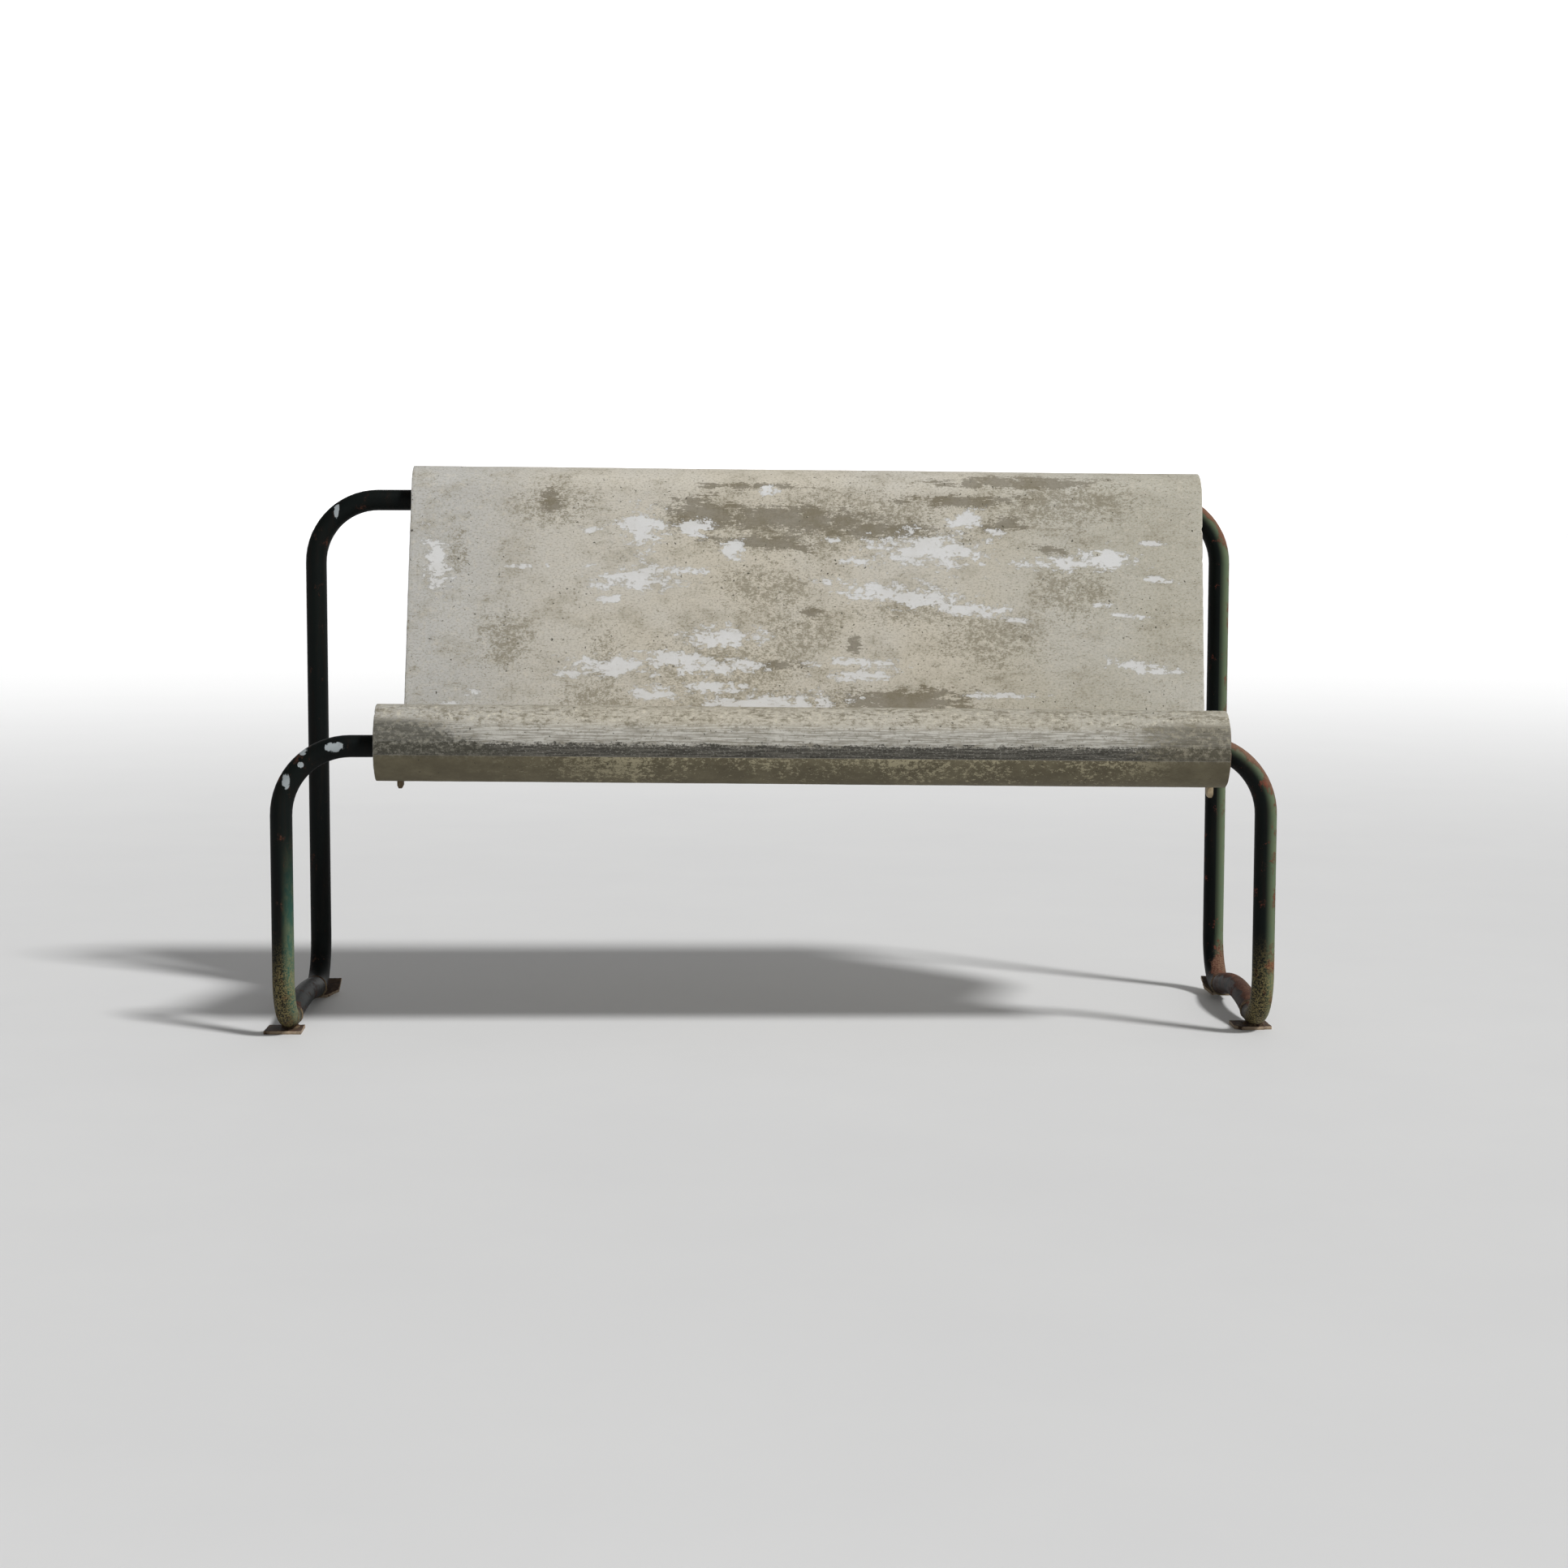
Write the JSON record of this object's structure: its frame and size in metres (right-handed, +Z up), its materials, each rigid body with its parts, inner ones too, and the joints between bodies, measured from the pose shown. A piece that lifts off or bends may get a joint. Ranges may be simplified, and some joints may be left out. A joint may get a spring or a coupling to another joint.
{
  "type": "street bench",
  "caption": "Street bench with a back: a thin sheet rolled round the front and top rails of a bent steel tube frame on foot plates.",
  "frame": {"origin": "on the ground, under the middle of the bench's outer box", "axes": "+X along the seat, +Y from the front to the back, +Z up"},
  "size_m": [1.392, 0.477, 0.7738],
  "materials": {
    "enamelled_tube": "dark blue-green enamel, chipped, with rust on the bends and feet",
    "rusty_steel": "bare steel, rusted brown and matt",
    "weathered_sheet": "weathered grey-beige moulded sheet, stained, flaked and chalky",
    "rib_sheet": "same moulded material as the shell, stained brown"
  },
  "bodies": {
    "root": {"front_hoop": "enamelled_tube", "rear_hoop": "enamelled_tube", "runner_left": "enamelled_tube", "runner_right": "enamelled_tube", "weld_front_left": "rusty_steel", "weld_front_right": "rusty_steel", "weld_rear_left": "rusty_steel", "weld_rear_right": "rusty_steel", "foot_plate_front_left": "rusty_steel", "foot_plate_front_right": "rusty_steel", "foot_plate_rear_left": "rusty_steel", "foot_plate_rear_right": "rusty_steel", "foot_weld_front_left": "rusty_steel", "foot_weld_front_right": "rusty_steel", "foot_weld_rear_left": "rusty_steel", "foot_weld_rear_right": "rusty_steel", "seat_shell": "weathered_sheet", "rib_front_left": "rib_sheet", "rib_front_right": "rib_sheet", "rib_top_left": "rib_sheet", "rib_top_right": "rib_sheet", "set_screws": "rusty_steel"}
  },
  "joints": []
}
